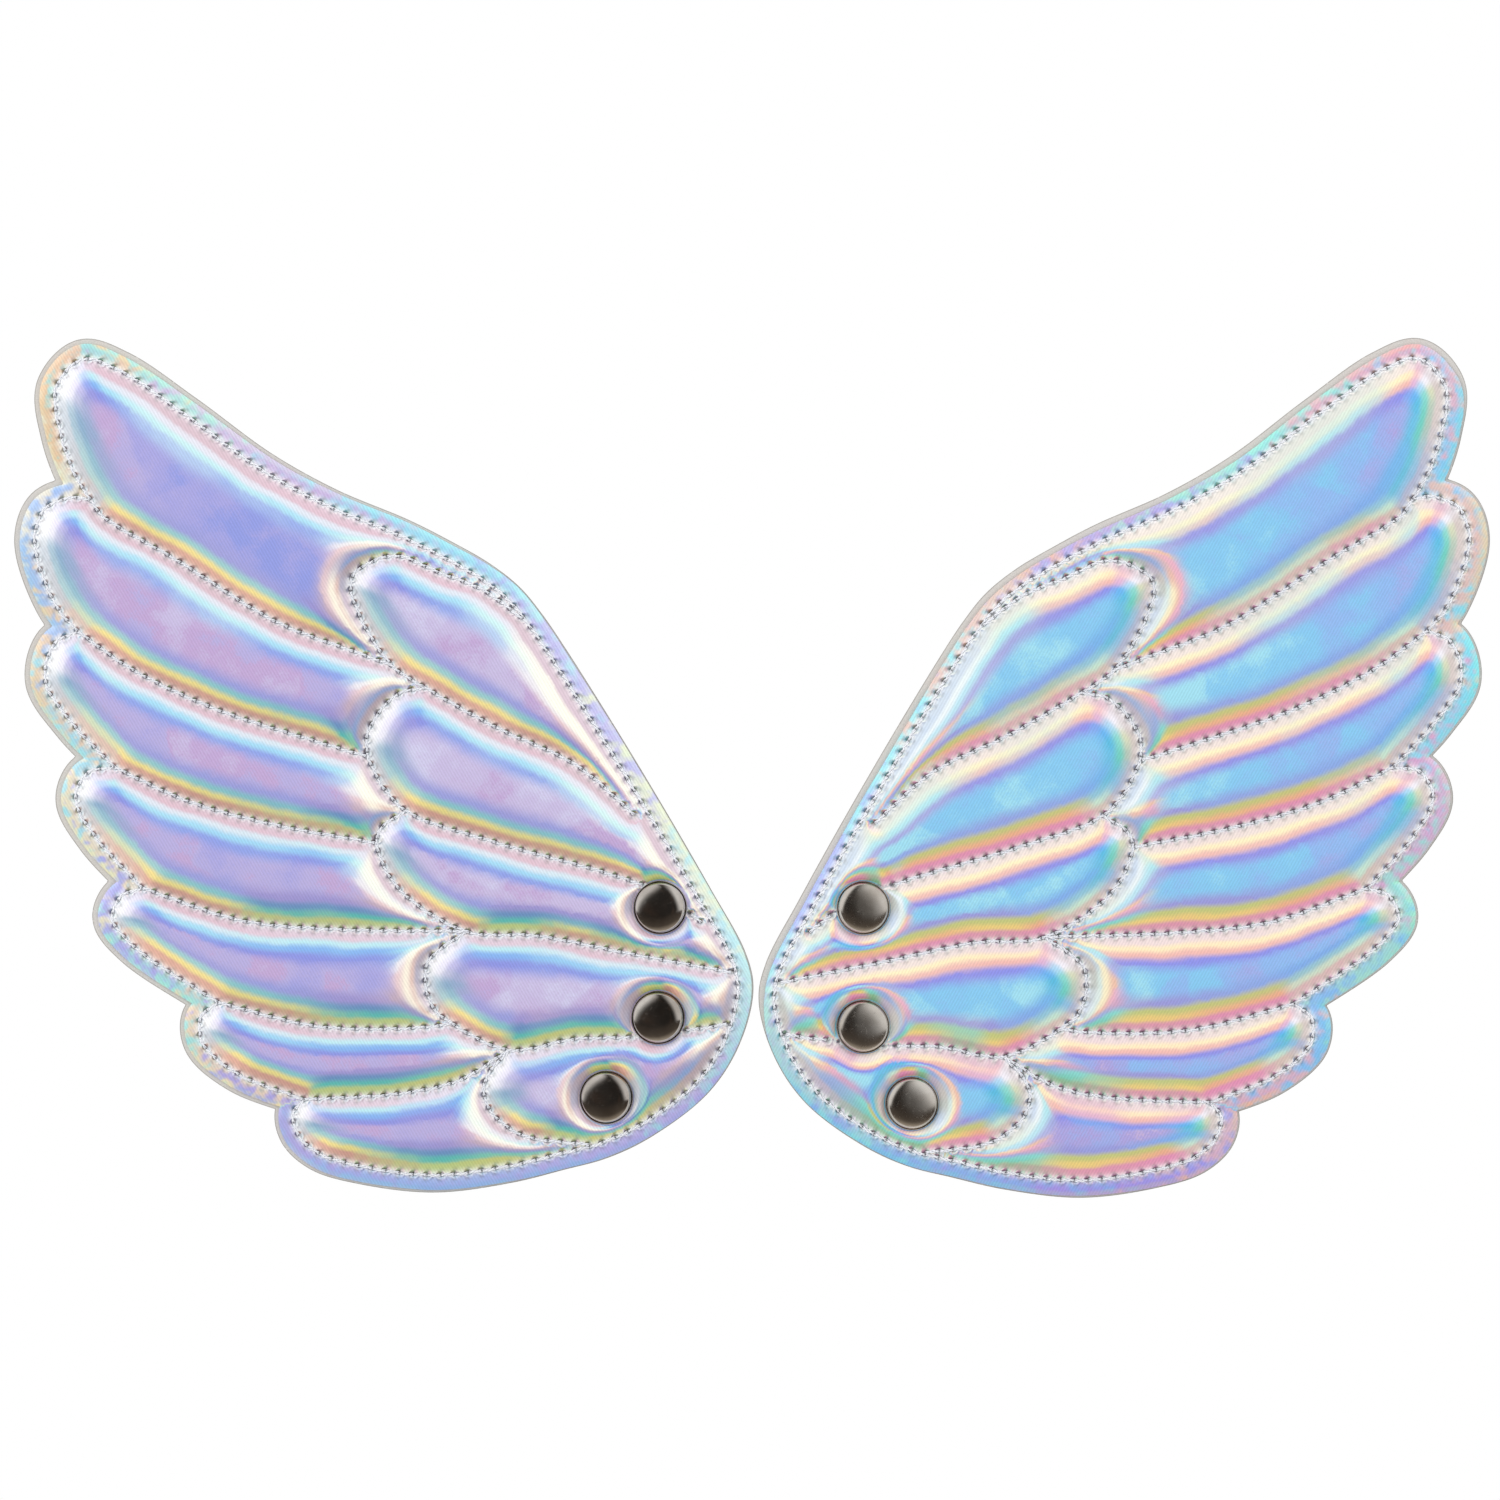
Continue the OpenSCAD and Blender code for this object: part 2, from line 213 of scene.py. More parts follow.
def cut_outline(extra):
    """The cut edge: each edge seam moved out by its margin plus extra(points), from notch to notch."""
    rims = []
    for s in EDGES:
        margin = MARGIN_ROOT + MARGIN_GAIN * (s.points[:, 0] - ROOT_U) / (NOTCHES[2][0] - ROOT_U)
        rims.append(s.points + s.right * (margin + extra(s.points))[:, None])
    cuts = [last_crossing(a, b) for a, b in zip(rims, rims[1:] + rims[:1])]
    loop = []
    for k, rim in enumerate(rims):
        loop.append(rim[cuts[k - 1][1] + 1:cuts[k][0] + 1])
        loop.append(cuts[k][2][None])
    line = np.vstack(loop)
    line = np.vstack([line, line[:1]])
    return spaced(line, round(spans(line).sum() / CUT_STEP))[:-1]


def within(points, loop):
    """Which points lie inside a closed loop."""
    order = np.argsort(points[:, 1])
    x, y = points[order].T
    crossed = np.zeros(len(points), bool)
    for (x0, y0), (x1, y1) in zip(loop, np.roll(loop, -1, 0)):
        i, j = np.searchsorted(y, (min(y0, y1), max(y0, y1)))
        if i < j:
            crossed[i:j] ^= x[i:j] < x0 + (y[i:j] - y0) * (x1 - x0) / (y1 - y0)
    inside = np.zeros(len(points), bool)
    inside[order] = crossed
    return inside


class Nearest:
    """Distance to the nearest of some points, and its index."""
    def __init__(self, points):
        self.tree = kdtree.KDTree(len(points))
        for i, (x, y) in enumerate(points):
            self.tree.insert((x, y, 0), i)
        self.tree.balance()

    def __call__(self, points):
        found = [self.tree.find((x, y, 0))[1:] for x, y in points.tolist()]
        return np.array([f[1] for f in found]), np.array([f[0] for f in found])


ALL = np.vstack([s.points for s in SEAMS])
ALONG = np.concatenate([np.arange(len(s.points)) / PER_STITCH for s in SEAMS])     # in stitches
OWNER = np.concatenate([np.full(len(s.points), k) for k, s in enumerate(SEAMS)])
near_seam = Nearest(ALL)


def circle(centre, r, n):
    a = np.arange(n) * 2 * math.pi / n
    return np.array(centre) + r * np.stack([np.cos(a), np.sin(a)], 1)


def from_snaps(side, points):
    """Distance to the nearest snap."""
    return np.min([np.linalg.norm(points - SNAPS[side, p], axis=1) for p in PLACES], 0)


def hexagonal(lo, hi, step):
    """Points in a triangular pattern."""
    columns = np.arange(lo[0], hi[0], step)
    rows = np.arange(lo[1], hi[1], step * 0.866)
    return np.vstack([np.stack([columns + step / 2 * (k % 2), np.full(len(columns), y)], 1)
                      for k, y in enumerate(rows)])


def scattered(side, outline, rows, grades, rings):
    """The points of a mesh that no seam or cut edge fixes."""
    loose = []
    for d in rows:
        for s in SEAMS:
            for sign in (-1, 1):
                line = s.points + sign * d * s.right
                loose.append(line[near_seam(line)[0] > 0.93 * d])
    lo, hi = outline.min(0), outline.max(0)
    for nearest, furthest, step in grades:
        p = hexagonal(lo, hi, step)
        p = p[within(p, outline)]
        d = near_seam(p)[0]
        p = p[(d >= nearest) & (d < furthest)]
        if rings:
            r = from_snaps(side, p)
            p = p[(r < min(rings) - 0.4) | (r > max(rings) + 0.4)]
        loose.append(p)
    for place in PLACES:
        for r in rings:
            loose.append(circle(SNAPS[side, place], r, math.ceil(2 * math.pi * r / 0.5)))
    return np.vstack(loose)


def triangulated(side, outline, rows, grades, seams=True, rings=()):
    """A flat mesh of the wing inside an outline. rows are distances beside the seams that get their
    own lines of points, grades are (nearest, furthest, spacing) bands round the seams, and rings are
    radii about the snaps that get circles of points."""
    fixed, edges = [], []

    def add(line, closed):
        base = sum(map(len, fixed))
        fixed.append(line)
        n = len(line)
        edges.extend((base + i, base + (i + 1) % n) for i in range(n if closed else n - 1))

    add(outline, True)
    if seams:
        for s in SEAMS:
            add(s.points, False)
    holes = [circle(SNAPS[side, p], RIVET_HOLE, 20) for p in PLACES]
    for h in holes:
        add(h, True)
    fixed = np.vstack(fixed)
    loose = scattered(side, outline, rows, grades, rings)
    loose = loose[within(loose, outline)]
    for h in holes:
        loose = loose[~within(loose, h)]
    loose = loose[Nearest(fixed)(loose)[0] > 0.22]
    points = np.vstack([fixed, loose])
    made = geometry.delaunay_2d_cdt([Vector(p) for p in points.tolist()], edges, [], 0, 1e-5)
    flat = np.array([(p.x, p.y) for p in made[0]])
    tris = np.array([f for f in made[2] if len(f) == 3])
    middle = flat[tris].mean(1)
    keep = within(middle, outline)
    for h in holes:
        keep &= ~within(middle, h)
    tris = tris[keep]
    area = doubled_areas(flat, tris)
    tris[area < 0] = tris[area < 0][:, ::-1]
    tris = tris[np.abs(area) > 1e-9]
    used = np.unique(tris)
    index = np.full(len(flat), -1)
    index[used] = np.arange(len(used))
    return flat[used], index[tris]


def doubled_areas(points, tris):
    """Twice each triangle's area, below zero where it is turned over."""
    a, b, c = (points[tris[:, k]] for k in range(3))
    return (b[:, 0] - a[:, 0]) * (c[:, 1] - a[:, 1]) - (b[:, 1] - a[:, 1]) * (c[:, 0] - a[:, 0])


def seam_facts(points):
    """Distance to the nearest seam, stitches along it, which seam, and which side."""
    d, i = near_seam(points)
    tangent = np.vstack([s.tangent for s in SEAMS])[i]
    rel = points - ALL[i]
    along = ALONG[i] + (rel * tangent).sum(1) / PITCH
    across = rel[:, 0] * tangent[:, 1] - rel[:, 1] * tangent[:, 0]
    return np.where(d < 0.45, np.minimum(d, np.abs(across)), d), along, OWNER[i], np.sign(across)


def from_hole(along):
    """Distance along a seam to the nearest needle hole."""
    return ((along + 0.5) % 1 - 0.5) * PITCH


def directed_edges(tris):
    return np.vstack([tris[:, [0, 1]], tris[:, [1, 2]], tris[:, [2, 0]]])


def boundary(tris):
    """The directed edges that only one triangle has."""
    e = directed_edges(tris)
    n = int(tris.max()) + 1
    key, back = e[:, 0].astype(np.int64) * n + e[:, 1], e[:, 1].astype(np.int64) * n + e[:, 0]
    return e[~np.isin(key, back)]


def membrane(points, tris, fixed, value, target, reach, rounds=90):
    """Heights of a film pulled down at fixed points and pushed towards target by what is under it:
    it recovers over the distance reach."""
    n = len(points)
    area = np.zeros(n)
    i, j, w = [], [], []
    for a, b, c in ((0, 1, 2), (1, 2, 0), (2, 0, 1)):
        p, q = points[tris[:, a]] - points[tris[:, c]], points[tris[:, b]] - points[tris[:, c]]
        cross = np.abs(p[:, 0] * q[:, 1] - p[:, 1] * q[:, 0])
        cot = np.clip((p * q).sum(1) / np.maximum(cross, 1e-9), -0.5, 8) / 2
        i += [tris[:, a], tris[:, b]]
        j += [tris[:, b], tris[:, a]]
        w += [cot, cot]
        area += np.bincount(tris[:, c], cross / 6, n)
    i, j, w = map(np.concatenate, (i, j, w))
    key = i.astype(np.int64) * n + j
    key, inverse = np.unique(key, return_inverse=True)
    w = np.clip(np.bincount(inverse, w), 0.01, 8)
    i, j = key // n, key % n
    w *= (reach[i] + reach[j]) ** 2 / 4
    diagonal = np.bincount(i, w, n) + area
    free = ~fixed

    def apply(x):
        return free * (diagonal * x - np.bincount(i, w * x[j], n))

    u = np.where(fixed, value, target)
    residual = free * (area * target - diagonal * u + np.bincount(i, w * u[j], n))
    step = residual / diagonal
    ahead = step.copy()
    gain = residual @ step
    for _ in range(rounds):
        pushed = apply(ahead)
        share = gain / max(ahead @ pushed, 1e-30)
        u += share * ahead
        residual -= share * pushed
        step = residual / diagonal
        gain, before = residual @ step, gain
        ahead = step + gain / max(before, 1e-30) * ahead
    return u


def waves(points, length, seed, count=7):
    """A gentle random undulation from -1 to 1, of about that wavelength."""
    r = np.random.default_rng(seed)
    total = np.zeros(len(points))
    for _ in range(count):
        a, k = r.uniform(0, 2 * math.pi), 2 * math.pi / (length * r.uniform(0.7, 1.5))
        total += np.sin(k * (points @ (math.cos(a), math.sin(a))) + r.uniform(0, 2 * math.pi))
    return total / count * 1.6


def seam_level(along, edge):
    """How low a seam holds the film: a little lower at its needle holes than between them."""
    return np.where(edge, EDGE_FLOOR, QUILT_FLOOR) - 0.12 * np.cos(2 * math.pi * along)


def new_object(name, data):
    obj = bpy.data.objects.new(name, data)
    bpy.context.scene.collection.objects.link(obj)
    return obj


def build(name, verts, faces, material, side, sharp_edges=None):
    """A smooth-shaded object. The right wing is mirrored, so its faces are turned over."""
    if side == "right":
        faces = [f[::-1] for f in faces] if isinstance(faces, list) else faces[:, ::-1]
    mesh = bpy.data.meshes.new(name)
    mesh.from_pydata(verts.tolist(), [], faces if isinstance(faces, list) else faces.tolist())
    mesh.materials.append(material)
    mesh.shade_smooth()
    obj = new_object(name, mesh)
    if sharp_edges is not None:
        n = len(verts)
        e = np.zeros(len(mesh.edges) * 2, np.int32)
        mesh.edges.foreach_get("vertices", e)
        e = np.sort(e.reshape(-1, 2), 1).astype(np.int64)
        wanted = np.sort(sharp_edges, 1).astype(np.int64)
        sharp = np.isin(e[:, 0] * n + e[:, 1], wanted[:, 0] * n + wanted[:, 1])
        mesh.attributes.new("sharp_edge", "BOOLEAN", "EDGE").data.foreach_set("value", sharp)
    return obj


def store(obj, name, values):
    """Values for a shell's flat points, kept on both of its faces: numbers, or pairs as vectors."""
    if values.ndim == 2:
        values = np.c_[values, np.zeros(len(values))]
    kind, key = ("FLOAT", "value") if values.ndim == 1 else ("FLOAT_VECTOR", "vector")
    attribute = obj.data.attributes.new(name, kind, "POINT")
    attribute.data.foreach_set(key, np.concatenate([values, values]).astype(np.float32).ravel())


def shell(name, side, points, tris, top, bottom, material):
    """A closed layer between two levels."""
    n = len(points)
    rim = boundary(tris)
    a, b = rim.T
    walls = np.vstack([np.stack([b, a, a + n], 1), np.stack([b, a + n, b + n], 1)])
    faces = np.vstack([tris, tris[:, ::-1] + n, walls])
    verts = np.vstack([placed(side, *points.T, top), placed(side, *points.T, bottom)])
    obj = build(name, verts, faces, material, side, np.vstack([rim, rim + n]))
    store(obj, "cloth", points)
    return obj


# ---- materials

def linear(colour):
    c = [int(colour[k:k + 2], 16) / 255 for k in (1, 3, 5)]
    return [x / 12.92 if x <= 0.04045 else ((x + 0.055) / 1.055) ** 2.4 for x in c] + [1]


class Tree:
    """A short way to write shader nodes."""
    def __init__(self, name):
        self.material = bpy.data.materials.new(name)
        self.material.use_nodes = True
        self.tree = self.material.node_tree
        self.shader = self.tree.nodes["Principled BSDF"]

    def node(self, kind, inputs=None, **settings):
        n = self.tree.nodes.new(kind)
        for key, value in settings.items():
            setattr(n, key, value)
        for key, value in (inputs or {}).items():
            self.put(n.inputs[key], value)
        return n

    def put(self, socket, value):
        if isinstance(value, bpy.types.NodeSocket):
            self.tree.links.new(value, socket)
        else:
            socket.default_value = value

    def set(self, **values):
        for key, value in values.items():
            self.put(self.shader.inputs[key.replace("_", " ")], value)

    def math(self, operation, *values):
        n = self.node("ShaderNodeMath", operation=operation)
        for socket, value in zip(n.inputs, values):
            self.put(socket, value)
        return n.outputs[0]

    def attribute(self, name, output="Vector"):
        return self.node("ShaderNodeAttribute", attribute_name=name).outputs[output]

    def ramp(self, value, stops, interpolation="LINEAR"):
        n = self.node("ShaderNodeValToRGB", {"Fac": value})
        n.color_ramp.interpolation = interpolation
        elements = n.color_ramp.elements
        while len(elements) < len(stops):
            elements.new(0.5)
        for e, (position, colour) in zip(elements, sorted(stops)):
            e.position = position
            e.color = linear(colour) if isinstance(colour, str) else [colour] * 3 + [1]
        return n.outputs["Color"]

    def between(self, value, low, high):
        """A smooth step from 0 at low to 1 at high."""
        n = self.node("ShaderNodeMapRange", {"Value": value, "From Min": low, "From Max": high},
                      interpolation_type="SMOOTHSTEP")
        return n.outputs["Result"]

    def mix(self, factor, a, b, blend="MIX"):
        n = self.node("ShaderNodeMix", data_type="RGBA", blend_type=blend)
        for socket, value in zip((n.inputs["Factor"], n.inputs[6], n.inputs[7]), (factor, a, b)):
            self.put(socket, value)
        return n.outputs[2]

    def noise(self, vector, scale, detail=2):
        n = self.node("ShaderNodeTexNoise", {"Vector": vector, "Scale": scale, "Detail": detail})
        return n.outputs["Fac"]

    def scaled(self, value, factor, offset=0.0):
        """value times factor plus offset."""
        return self.math("MULTIPLY_ADD", value, factor, offset)

    def dot(self, a, b):
        n = self.node("ShaderNodeVectorMath", {0: a, 1: b}, operation="DOT_PRODUCT")
        return n.outputs["Value"]

    def bump(self, height, strength, distance, normal=None):
        inputs = {"Height": height, "Strength": strength, "Distance": distance}
        if normal is not None:
            inputs["Normal"] = normal
        return self.node("ShaderNodeBump", inputs).outputs["Normal"]


# The holographic film's iridescent reflection is painted into its colour by which way it leans,
# with painted highlights on some slopes and painted shade on others. Each row of a table below is a
# way of leaning, in degrees from the feather root (0) through up (90) to the feather tip (180), and the
# four colours that it has taken on at the second to the last of these slopes.
LEANS = (0.03, 0.11, 0.22, 0.35, 0.56)
TWILL_PITCH = 0.65
# Painted highlight and shade for the film beside a seam: how bright it is, from turned away from the light
# to turned towards it
PAINTED_GLINTS = [(0.0, "#5c5a66"), (0.25, "#a4a4b0"), (0.42, "#e4e5ec"), (0.6, "#ffffff"), (0.85, "#fffefa"),
          (1.0, "#eef8fa")]
LEFT_MARGIN = [
    (0, "#b4a8ea"), (0.08, "#9cc0f6"), (0.16, "#b4b0f0"), (0.22, "#9ce4f0"), (0.3, "#e4ecc8"),
    (0.36, "#b0acf0"), (0.44, "#9ce8f2"), (0.52, "#d8b8dc"), (0.57, "#b0ecd8"), (0.61, "#fcd08c"),
    (0.66, "#fdf6d0"), (0.71, "#a8cef8"), (0.75, "#fcdca4"), (0.8, "#a8ecf2"), (0.84, "#fdeebc"),
    (0.88, "#b4b4f4"), (0.92, "#a8f0e4"), (0.96, "#fce0b0"), (1, "#b4a8ea")]
RIGHT_MARGIN = [
    (0, "#f4b0b4"), (0.06, "#a890ee"), (0.13, "#7cb4f6"), (0.2, "#88e4ea"), (0.27, "#9c9cf0"),
    (0.34, "#8ce8f0"), (0.4, "#f2b8a4"), (0.46, "#a8a0f0"), (0.52, "#90f0e0"), (0.58, "#f4b0b8"),
    (0.64, "#88d4f6"), (0.7, "#f8c8a4"), (0.76, "#88e8f4"), (0.82, "#eca8c8"), (0.88, "#a8e8d0"),
    (0.94, "#88c4f6"), (1, "#f4b0b4")]
LEFT_LEAN_REFLECTION = {
    0: "#edd2d6 #fdf3e2 #e2c4bc #b4aec2", 25: "#f2eef4 #fffef0 #fdf8ea #d8c2d0",
    50: "#b8d0f2 #ccf0f2 #e2e2ee #d4bac6", 70: "#92a6ea #a6dcf4 #dce4f0 #dcbccb",
    90: "#8e96e4 #86b4f0 #bce8f2 #e2ccdc", 112: "#9a9ae0 #94a6ea #bcd2f2 #e0dcee",
    140: "#a8a8dc #c0bce6 #e4e0f2 #efeef4", 165: "#a9b0d6 #c0c2de #e6e4f0 #f2f1f4",
    190: "#9aaed2 #8eaecc #a6c0d2 #ccd2dc", 208: "#a4acd6 #98c0d2 #b4d4d8 #ccccd2",
    220: "#a8aade #a4d0d6 #d8e4c4 #e4cabc", 234: "#a6a6e0 #a8d6d6 #fde89c #e8b4a2",
    252: "#9ca2e0 #88c6cc #e6d88c #cc9a8e", 270: "#a098d4 #6c94c4 #5cbcb6 #bccc86",
    292: "#b2a4d0 #84a4cc #80c8b4 #ccc87c", 318: "#c4aec2 #a49ec8 #8ca4d2 #b8a4ac"}
RIGHT_LEAN_REFLECTION = {
    0: "#f2c6b0 #fdf0cc #d8e8e2 #c2c6c2", 25: "#b4b8e8 #c0e6f4 #e6eef4 #c4d2e6",
    50: "#a8aee4 #b6e8f0 #d6e8de #d8dad4", 72: "#9696e8 #f2c4bc #fff2c8 #f2e4dc",
    90: "#8e94ec #f2bcb4 #ffe9c2 #f0dcdc", 108: "#84a8f0 #deb2d4 #f0c4c8 #deb8c8",
    135: "#66b4f0 #a8d4f0 #ece8f2 #dcd2d8", 160: "#58bce2 #84d4cc #d0d4b8 #cebfbc",
    190: "#6cc0e6 #6cccc0 #b0c4b8 #d6c8c6", 212: "#78b8ee #6cc0e0 #94c4e6 #b6bcd8",
    232: "#82b0ee #96cae0 #ccead8 #dcc6bc", 252: "#94acea #ccca84 #f2b494 #ea94bc",
    270: "#9e9ee0 #cace84 #f2d484 #e49cb4", 292: "#aeb0dc #8cdcd4 #80d4c4 #8cbe96",
    318: "#d6acca #a0b4e2 #9cb0de #c2b6ca", 342: "#f0b8cc #f0c2b4 #c2ccdc #cec8c4"}
LEFT_FACE = [(0, "#949fe6"), (0.25, "#aaa8e4"), (0.5, "#bab1e2"), (0.62, "#c4aad8"), (0.78, "#cabee4"),
             (1, "#d4d2f0")]
RIGHT_FACE = [(0, "#a4e2f4"), (0.24, "#88ccf4"), (0.48, "#92bcf3"), (0.68, "#a2b0ec"), (0.8, "#b0a6e2"),
              (0.9, "#ccb6dc"), (1, "#b0e0f2")]


def face_colour(t, side, cloth):
    """The flat of a feather: its own place on the face ramp, clouded and in soft-edged patches."""
    cells = t.node("ShaderNodeTexVoronoi", {"Vector": cloth, "Scale": 0.055, "Randomness": 1.0},
                   feature="SMOOTH_F1")
    t.put(cells.inputs["Smoothness"], 0.12)
    cell = t.node("ShaderNodeSeparateColor", {"Color": cells.outputs["Color"]}).outputs["Red"]
    face = t.math("ADD", t.attribute("hue", "Fac"),
                  t.math("ADD", t.scaled(t.noise(cloth, 0.11, 3), 0.7, -0.35), t.scaled(cell, 0.26, -0.13)))
    face = t.math("ADD", face, t.scaled(t.noise(cloth, 1.6, 3), 0.22, -0.11))
    return t.ramp(face, LEFT_FACE if side == "left" else RIGHT_FACE, "EASE")


def painted_lean_reflection(t, side, cloth, colour):
    """The slopes of a feather: four colours after each other, which depend on the way it leans: painted
    iridescent reflection, highlight and shade.
    """
    lean = t.attribute("lean")
    split = t.node("ShaderNodeSeparateXYZ", {"Vector": lean})
    angle = t.scaled(t.math("ARCTAN2", split.outputs["Y"], split.outputs["X"]), 0.5 / math.pi, 1)
    angle = t.math("FRACT", t.scaled(t.noise(cloth, 0.06), 0.06, t.math("SUBTRACT", angle, 0.03)))
    steep = t.node("ShaderNodeVectorMath", {0: lean}, operation="LENGTH").outputs["Value"]
    steep = t.math("MULTIPLY", steep, t.scaled(t.noise(cloth, 0.09), 0.5, 0.75))
    table = LEFT_LEAN_REFLECTION if side == "left" else RIGHT_LEAN_REFLECTION
    for k, (start, reach) in enumerate(zip(LEANS, LEANS[1:])):
        stops = [(a / 360, row.split()[k]) for a, row in table.items()]
        stops.append((1, table[0].split()[k]))
        colour = t.mix(t.between(steep, start, reach), colour, t.ramp(angle, stops, "EASE"))
    return colour


def margin_colour(t, side, cloth, colour):
    """The margin outside the edge seam: quick bands that follow each other round the wing."""
    ring = t.math("ADD", t.attribute("around", "Fac"), t.scaled(t.noise(cloth, 0.25, 2), 0.22, -0.11))
    rim = t.ramp(t.math("PINGPONG", ring, 1.0), LEFT_MARGIN if side == "left" else RIGHT_MARGIN, "EASE")
    return t.mix(t.math("MULTIPLY", t.attribute("margin", "Fac"), 0.7), colour, rim)


def gathered_colour(t, side, cloth, colour):
    """Painted shade beside the stitches, tinted teal and brown, a painted silver glint by the seam and
    painted shade in the needle holes.
    """
    # painted shade beside the stitches, tinted teal and brown
    shade = t.mix(t.noise(cloth, 0.5), linear("#4f9aa8"), linear("#a8705c"))
    colour = t.mix(t.math("MULTIPLY", t.attribute("beside", "Fac"), 0.5), colour, shade, "MULTIPLY")
    # painted silver glint by the seam: lighter where the gathers lean towards the light, darker where they
    # lean away
    lit = t.dot(t.attribute("fine"), (-0.5 if side == "left" else 0.5, 0.75, 0))
    glint = t.ramp(t.scaled(lit, 1.7, 0.55), PAINTED_GLINTS)
    colour = t.mix(t.math("MULTIPLY", t.attribute("seam", "Fac"), 0.8), colour, glint)
    # painted shade in the needle holes
    return t.mix(t.math("MULTIPLY", t.attribute("hole", "Fac"), 0.33), colour, linear("#4e4c56"))


def film_material(side):
    t = Tree("hologram_film_" + side)
    cloth = t.attribute("cloth")
    colour = face_colour(t, side, cloth)
    for layer in (painted_lean_reflection, margin_colour, gathered_colour):
        colour = layer(t, side, cloth, colour)
    # the woven base shows through as a fine slanting twill
    twill = t.math("SINE", t.math("MULTIPLY", t.dot(cloth, (0.87, 0.5, 0)), 2 * math.pi / TWILL_PITCH))
    tint = t.scaled(twill, 0.06, t.scaled(t.noise(cloth, 2.4, 3), 0.16, 0.83))
    grey = t.node("ShaderNodeCombineColor", {"Red": tint, "Green": tint, "Blue": tint}).outputs[0]
    colour = t.mix(1.0, colour, grey, "MULTIPLY")
    wobble = t.bump(t.noise(cloth, 0.35, 3), 0.25, 0.0006)
    t.set(Base_Color=colour, Metallic=0.15, Roughness=0.35, Normal=t.bump(twill, 0.12, 0.00004, wobble),
          Coat_Weight=0.5, Coat_Roughness=0.2, Coat_Normal=wobble)
    t.set(Thin_Film_Thickness=420.0, Thin_Film_IOR=1.4)
    return t.material


def backing_material():
    t = Tree("backing")
    cloth = t.attribute("cloth")
    rim = t.between(t.attribute("rim", "Fac"), 0.0, 0.35)
    grain, mottle = t.noise(cloth, 3.5, 5), t.noise(cloth, 0.05, 3)
    colour = t.ramp(grain, [(0.3, "#b9b5b0"), (0.7, "#cdcac5")])
    colour = t.mix(t.math("MULTIPLY", mottle, 0.35), colour, linear("#b4b0ac"))
    # painted shade: the colour darkens to a line along the cut edge
    colour = t.mix(rim, linear("#8f8b86"), colour)
    cells = t.node("ShaderNodeTexVoronoi", {"Vector": cloth, "Scale": 1.6})
    normal = t.bump(cells.outputs["Distance"], 0.35, 0.00012)
    t.set(Base_Color=colour, Roughness=t.scaled(grain, 0.25, 0.45), Normal=normal,
          Sheen_Weight=0.15, Coat_Weight=0.1, Coat_Roughness=0.4)
    return t.material


def foam_material():
    t = Tree("foam")
    cloth = t.attribute("cloth")
    cells = t.node("ShaderNodeTexVoronoi", {"Vector": cloth, "Scale": 2.0})
    colour = t.ramp(cells.outputs["Distance"], [(0, "#d8d0b8"), (1, "#f6f1e0")])
    t.set(Base_Color=colour, Roughness=0.95, Normal=t.bump(cells.outputs["Distance"], 0.6, 0.0003))
    return t.material


def board_material():
    t = Tree("board")
    fibres = t.noise(t.attribute("cloth"), 4.0, 5)
    t.set(Base_Color=t.ramp(fibres, [(0.3, "#cfcab8"), (0.7, "#e2dfd2")]), Roughness=0.9,
          Normal=t.bump(fibres, 0.3, 0.0001))
    return t.material


def thread_material(name, pale, dark):
    t = Tree(name)
    fibres = t.noise(t.node("ShaderNodeTexCoord").outputs["Object"], 4000.0, 3)
    t.set(Base_Color=t.ramp(fibres, [(0.25, dark), (0.7, pale)]), Roughness=0.35, Sheen_Weight=0.3,
          Coat_Weight=0.4, Coat_Roughness=0.15, Normal=t.bump(fibres, 0.25, 0.00003))
    return t.material


def metal_material(name, pale, dark, roughness, scratches):
    t = Tree(name)
    place = t.node("ShaderNodeTexCoord").outputs["Object"]
    cloud, fine = t.noise(place, 160.0, 4), t.noise(place, 1400.0, 4)
    t.set(Base_Color=t.ramp(cloud, [(0.35, dark), (0.65, pale)]), Metallic=1.0,
          Roughness=t.scaled(t.between(fine, 0.55, 0.75), 0.12, roughness),
          Normal=t.bump(fine, scratches, 0.00001))
    return t.material


FILM = {side: film_material(side) for side in ("left", "right")}
BACKING, FOAM, CARD = backing_material(), foam_material(), board_material()
THREAD = {"edge_thread": thread_material("edge_thread", "#f6f7fa", "#b8bbc6"),
          "quilting_thread": thread_material("quilting_thread", "#f4f5f9", "#b4b8c3")}
# two copies of one cap metal: the right caps' copy is lighter and rougher, painted light for the brighter,
# softer reflection they show
CAP = {"left": metal_material("cap_metal_left", "#d2ccc5", "#b4aca4", 0.13, 0.06),
       "right": metal_material("cap_metal_right_lit_copy", "#dcd6ce", "#c2bab0", 0.2, 0.08)}
POST = metal_material("post_metal", "#b9b4a6", "#9d978a", 0.25, 0.1)
SOCKET = metal_material("socket_metal", "#8f8b85", "#77736d", 0.22, 0.12)
WIRE = metal_material("spring_wire", "#c9cacb", "#a9aaab", 0.18, 0.05)

# ---- standing in for the root and blade nodes

JOINTS = {j["name"]: j for j in frame["joints"]}


def soft(obj, side):
    """A piece that stands for its root and blade nodes: they are hidden, and its placing is baked into its
    mesh.
    """
    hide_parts(obj.name + "_root", obj.name + "_blade")
    joint = JOINTS[side + "_flex"]
    pos, axis = Vector(joint["pos_m"]), Vector(joint["axis"]).normalized()
    to_root = axis.cross(Vector((0, 1, 0))).normalized()
    u, v = SNAPS[side, "middle"]
    if to_root.dot(Vector(placed(side, u, v, SEAT).tolist()) - pos) < 0:
        to_root = -to_root
    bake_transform(obj)


# ---- the soft layers

